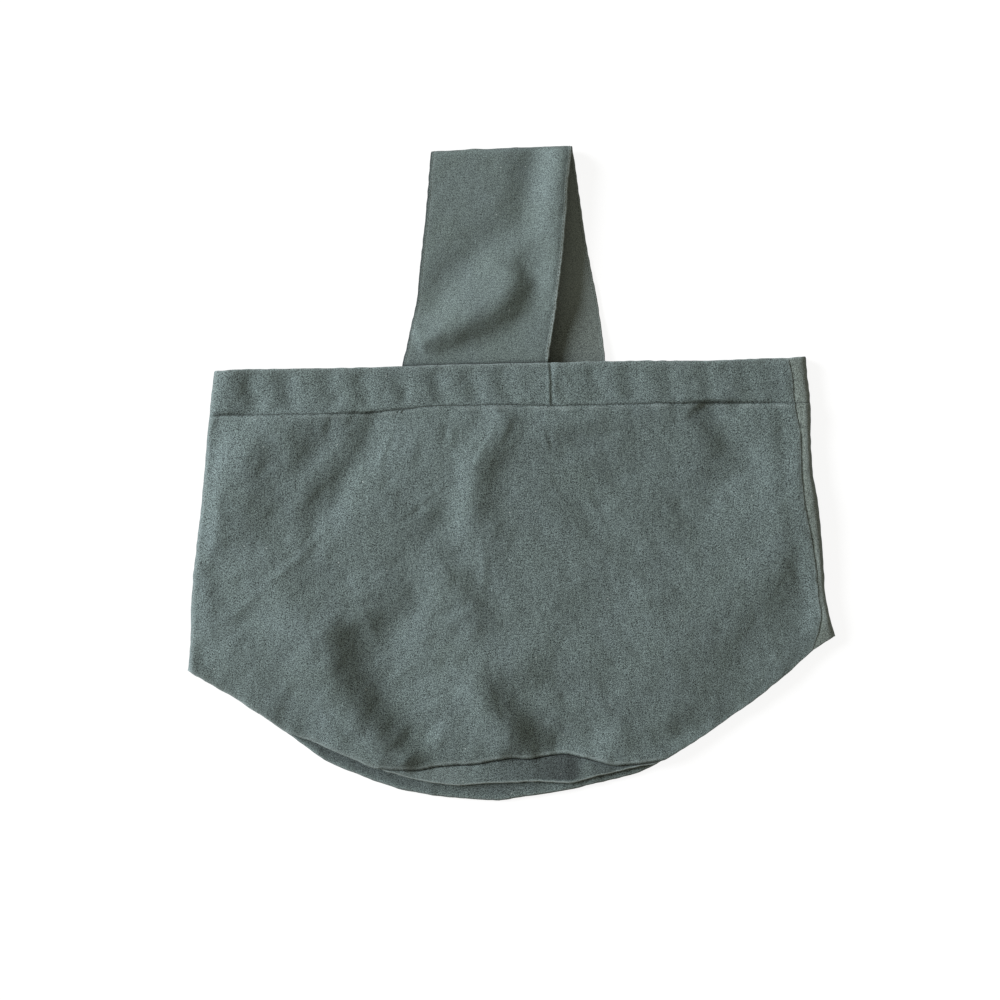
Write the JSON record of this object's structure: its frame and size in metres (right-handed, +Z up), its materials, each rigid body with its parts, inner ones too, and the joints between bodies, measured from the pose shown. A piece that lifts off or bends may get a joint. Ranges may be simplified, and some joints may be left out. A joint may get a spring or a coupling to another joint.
{
  "type": "crescent bag",
  "caption": "Soft canvas crescent bag lying flat: front and back panels with turned hems, a pleated boat-shaped base and one wide strap loop.",
  "frame": {"origin": "bottom centre of the whole bag's box, on the floor that the flat bag lies on", "axes": "+X along the mouth to the right as seen from above, +Y from the base to the strap, +Z up from the floor, through the cloth"},
  "size_m": [0.4414, 0.4428, 0.0255],
  "materials": {
    "canvas": "washed cotton canvas, matt, grey-green",
    "canvas_inside": "inside face of the washed cotton canvas, matt",
    "strap_canvas": "washed cotton canvas, matt, edge stitched",
    "strap_lining": "washed cotton canvas, matt, a little browner",
    "thread": "sewing thread, dark grey-green"
  },
  "bodies": {
    "bag": {"front_panel": "canvas", "back_panel": "canvas", "base_panel": "canvas", "left_side_seam": "canvas_inside", "right_side_seam": "canvas_inside", "front_base_seam": "canvas_inside", "back_base_seam": "canvas_inside", "front_strap_end_outer": "strap_canvas", "front_strap_end_lining": "strap_lining", "back_strap_end_outer": "strap_canvas", "back_strap_end_lining": "strap_lining"},
    "strap": {"strap_outer": "strap_canvas", "strap_lining": "strap_lining"}
  },
  "joints": [
    {"name": "strap_swing", "type": "hinge", "parent": "bag", "child": "strap", "pos_m": [0, 0.07557, 0.01545], "axis": [1, 0, 0], "range_deg": [0, 160]}
  ]
}
